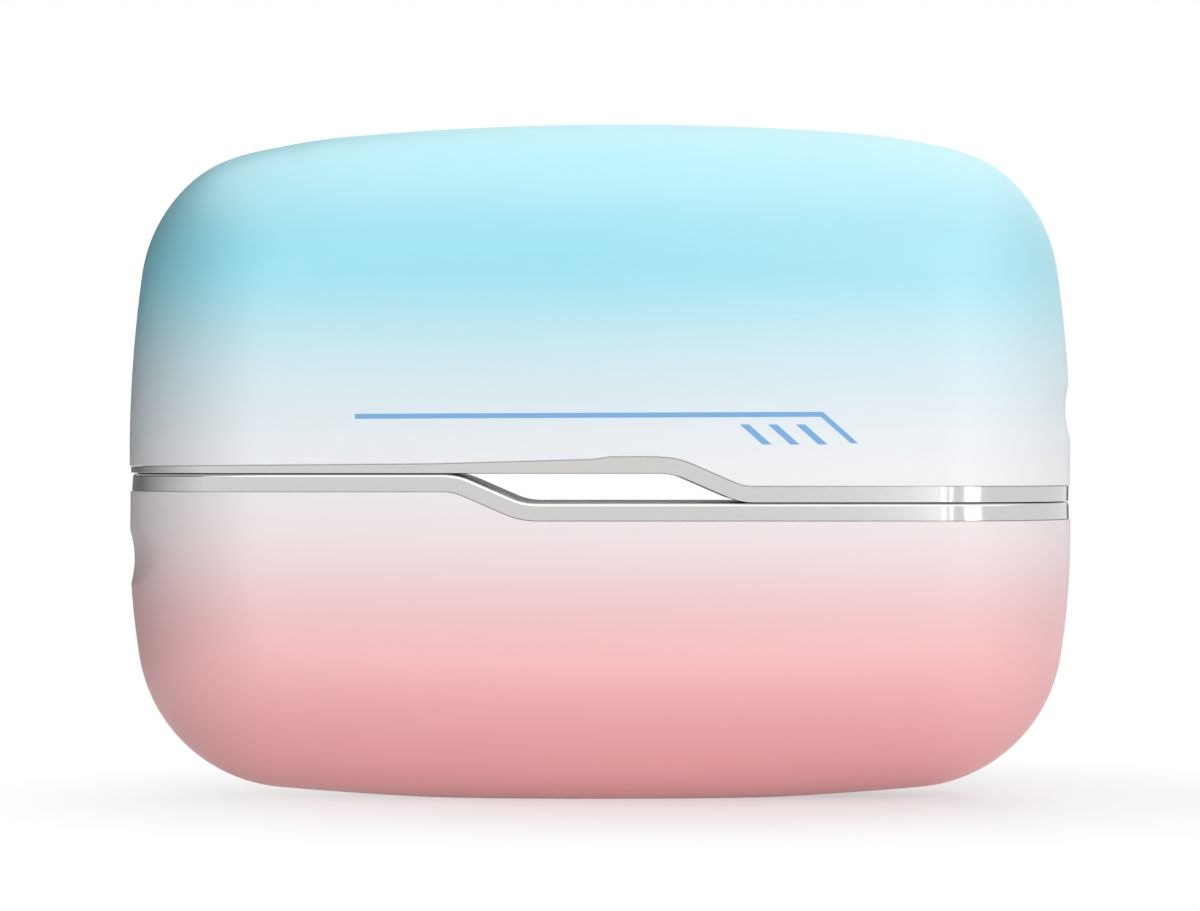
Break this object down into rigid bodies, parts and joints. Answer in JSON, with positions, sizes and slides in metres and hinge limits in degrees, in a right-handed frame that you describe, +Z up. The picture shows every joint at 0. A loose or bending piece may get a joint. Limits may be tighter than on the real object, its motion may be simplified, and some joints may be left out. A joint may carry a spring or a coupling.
{
  "type": "rechargeable hand warmer",
  "caption": "Pocket hand warmer split into magnetic halves that meet on a stepped parting line, each a rounded metal shell with trim ring, cell, heaters, button and charging socket.",
  "frame": {"origin": "the middle of the flat foot under the lower half, which is the middle of the bounding box's underside", "axes": "+Z up, +X to the right as the picture shows it, -Y towards the viewer, so the printed face looks along -Y"},
  "size_m": [0.1, 0.03, 0.0714],
  "materials": {
    "upper_paint": "satin, gradient from white at the parting to light blue at the crown",
    "lower_paint": "satin, gradient from white at the parting to soft pink at the foot",
    "trim_metal": "satin silver",
    "plate_plastic": "fine matte, white",
    "magnet_nickel": "bright nickel plating",
    "screw_steel": "dark zinc plating",
    "cradle_plastic": "moulded, light grey",
    "cell_wrap": "smooth heat-shrink sleeve",
    "insulator_paper": "matte fish paper",
    "tab_nickel": "rolled nickel strip",
    "pad_foam": "open-cell foam, dark grey",
    "heater_film": "amber film with etched tracks",
    "bead_epoxy": "dipped epoxy",
    "red_wire": "silicone insulation",
    "black_wire": "silicone insulation",
    "white_wire": "silicone insulation",
    "grey_wire": "silicone insulation",
    "board_laminate": "green solder mask",
    "chip_black": "moulded packages",
    "port_steel": "drawn steel, satin",
    "tongue_plastic": "moulded",
    "switch_black": "moulded",
    "stem_plastic": "moulded",
    "button_plastic": "translucent, satin",
    "led_lens": "clear resin, not lit"
  },
  "bodies": {
    "lower_half": {"lower_shell": "lower_paint", "lower_trim_ring": "trim_metal", "lower_mating_plate": "plate_plastic", "lower_magnets": "magnet_nickel", "lower_plate_screws": "screw_steel", "lower_cell_cradle": "cradle_plastic", "lower_battery_cell": "cell_wrap", "lower_cell_insulator": "insulator_paper", "lower_cell_tabs": "tab_nickel", "lower_foam_pads": "pad_foam", "lower_front_heater": "heater_film", "lower_back_heater": "heater_film", "lower_thermistor": "bead_epoxy", "lower_red_lead": "red_wire", "lower_black_lead": "black_wire", "lower_heater_leads": "white_wire", "lower_sensor_leads": "grey_wire", "lower_control_board": "board_laminate", "lower_board_parts": "chip_black", "lower_usb_port": "port_steel", "lower_usb_tongue": "tongue_plastic", "lower_switch_body": "switch_black", "lower_status_led": "led_lens"},
    "lower_button": {"lower_power_button": "button_plastic", "lower_switch_stem": "stem_plastic"},
    "upper_half": {"upper_shell": "upper_paint", "upper_trim_ring": "trim_metal", "upper_mating_plate": "plate_plastic", "upper_magnets": "magnet_nickel", "upper_plate_screws": "screw_steel", "upper_cell_cradle": "cradle_plastic", "upper_battery_cell": "cell_wrap", "upper_cell_insulator": "insulator_paper", "upper_cell_tabs": "tab_nickel", "upper_foam_pads": "pad_foam", "upper_front_heater": "heater_film", "upper_back_heater": "heater_film", "upper_thermistor": "bead_epoxy", "upper_red_lead": "red_wire", "upper_black_lead": "black_wire", "upper_heater_leads": "white_wire", "upper_sensor_leads": "grey_wire", "upper_control_board": "board_laminate", "upper_board_parts": "chip_black", "upper_usb_port": "port_steel", "upper_usb_tongue": "tongue_plastic", "upper_switch_body": "switch_black", "upper_status_led": "led_lens"},
    "upper_button": {"upper_power_button": "button_plastic", "upper_switch_stem": "stem_plastic"}
  },
  "joints": [
    {"name": "upper_lift", "type": "slide", "parent": "lower_half", "child": "upper_half", "axis": [0, 0, 1], "range_m": [0, 0.04]},
    {"name": "upper_button_press", "type": "slide", "parent": "upper_half", "child": "upper_button", "axis": [-1, 0, 0], "range_m": [0, 0.0004], "stiffness_N_per_m": 2000},
    {"name": "lower_button_press", "type": "slide", "parent": "lower_half", "child": "lower_button", "axis": [1, 0, 0], "range_m": [0, 0.0004], "stiffness_N_per_m": 2000}
  ]
}
